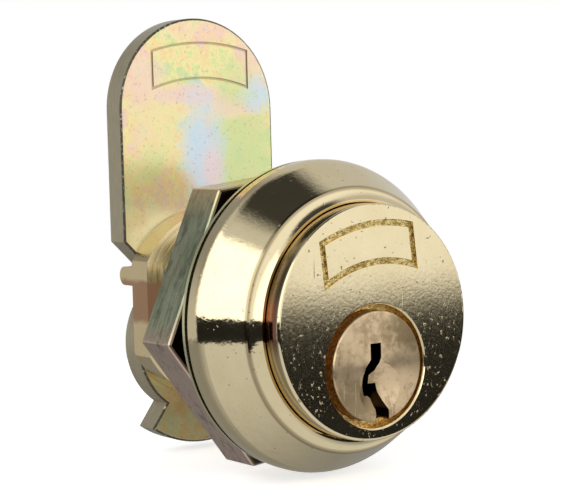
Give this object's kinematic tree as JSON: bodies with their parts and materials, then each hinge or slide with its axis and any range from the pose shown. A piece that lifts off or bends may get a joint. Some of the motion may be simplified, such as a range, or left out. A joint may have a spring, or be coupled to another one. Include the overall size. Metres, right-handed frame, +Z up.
{
  "type": "cam lock",
  "caption": "Pin-tumbler cam lock with a round brass head, bell-shaped trim collar, threaded double-D barrel, hexagon nut and a flat cam with a full-round end.",
  "frame": {"origin": "on the barrel's axis, in the plane where the trim collar's back meets the front of the panel", "axes": "+Y along the barrel from the head to the cam, +Z up towards the cam's tip at rest, +X to the right as seen from the front"},
  "size_m": [0.04, 0.0462, 0.0581],
  "materials": {
    "polished_brass": "bright polished brass plate on a cast body",
    "satin_brass": "satin machined brass",
    "yellow_zinc": "yellow zinc passivated steel, iridescent",
    "bright_steel": "bright spring steel and zinc-plated screw"
  },
  "bodies": {
    "lock_case": {"lock_body": "polished_brass", "trim_collar": "polished_brass", "chamber_caps": "satin_brass"},
    "washer": {"panel_washer": "yellow_zinc"},
    "nut": {"hex_nut": "yellow_zinc"},
    "core": {"plug": "satin_brass", "cam": "yellow_zinc", "cam_lock_washer": "bright_steel", "cam_screw": "bright_steel"},
    "bottom_pin_1": {"key_pin_1": "satin_brass"},
    "top_pin_1": {"driver_pin_1": "satin_brass", "pin_spring_1": "bright_steel"},
    "bottom_pin_2": {"key_pin_2": "satin_brass"},
    "top_pin_2": {"driver_pin_2": "satin_brass", "pin_spring_2": "bright_steel"},
    "bottom_pin_3": {"key_pin_3": "satin_brass"},
    "top_pin_3": {"driver_pin_3": "satin_brass", "pin_spring_3": "bright_steel"},
    "bottom_pin_4": {"key_pin_4": "satin_brass"},
    "top_pin_4": {"driver_pin_4": "satin_brass", "pin_spring_4": "bright_steel"},
    "bottom_pin_5": {"key_pin_5": "satin_brass"},
    "top_pin_5": {"driver_pin_5": "satin_brass", "pin_spring_5": "bright_steel"}
  },
  "joints": [
    {"name": "plug_turn", "type": "hinge", "parent": "lock_case", "child": "core", "pos_m": [0, 0, -0.0053], "axis": [0, 1, 0], "range_deg": [0, 90]},
    {"name": "washer_slide", "type": "slide", "parent": "lock_case", "child": "washer", "axis": [0, 1, 0], "range_m": [-0.00075, 0.0127]},
    {"name": "nut_turn", "type": "hinge", "parent": "washer", "child": "nut", "pos_m": [0, 0, 0], "axis": [0, 1, 0], "range_deg": [-149, 2521]},
    {"name": "key_pin_1_slide", "type": "slide", "parent": "core", "child": "bottom_pin_1", "axis": [0, 0, 1], "range_m": [-0.0014, 0]},
    {"name": "driver_pin_1_slide", "type": "slide", "parent": "lock_case", "child": "top_pin_1", "axis": [0, 0, 1], "range_m": [0, 0.0014], "stiffness_N_per_m": 120, "springref_m": -0.0015, "deforming": ["pin_spring_1"]},
    {"name": "key_pin_2_slide", "type": "slide", "parent": "core", "child": "bottom_pin_2", "axis": [0, 0, 1], "range_m": [-0.0014, 0]},
    {"name": "driver_pin_2_slide", "type": "slide", "parent": "lock_case", "child": "top_pin_2", "axis": [0, 0, 1], "range_m": [0, 0.0014], "stiffness_N_per_m": 120, "springref_m": -0.0015, "deforming": ["pin_spring_2"]},
    {"name": "key_pin_3_slide", "type": "slide", "parent": "core", "child": "bottom_pin_3", "axis": [0, 0, 1], "range_m": [-0.0014, 0]},
    {"name": "driver_pin_3_slide", "type": "slide", "parent": "lock_case", "child": "top_pin_3", "axis": [0, 0, 1], "range_m": [0, 0.0014], "stiffness_N_per_m": 120, "springref_m": -0.0015, "deforming": ["pin_spring_3"]},
    {"name": "key_pin_4_slide", "type": "slide", "parent": "core", "child": "bottom_pin_4", "axis": [0, 0, 1], "range_m": [-0.0014, 0]},
    {"name": "driver_pin_4_slide", "type": "slide", "parent": "lock_case", "child": "top_pin_4", "axis": [0, 0, 1], "range_m": [0, 0.0014], "stiffness_N_per_m": 120, "springref_m": -0.0015, "deforming": ["pin_spring_4"]},
    {"name": "key_pin_5_slide", "type": "slide", "parent": "core", "child": "bottom_pin_5", "axis": [0, 0, 1], "range_m": [-0.0014, 0]},
    {"name": "driver_pin_5_slide", "type": "slide", "parent": "lock_case", "child": "top_pin_5", "axis": [0, 0, 1], "range_m": [0, 0.0014], "stiffness_N_per_m": 120, "springref_m": -0.0015, "deforming": ["pin_spring_5"]}
  ],
  "couplings": [
    {"joint": "nut_turn", "follows": "washer_slide", "rad_per_m": 3463.7}
  ]
}
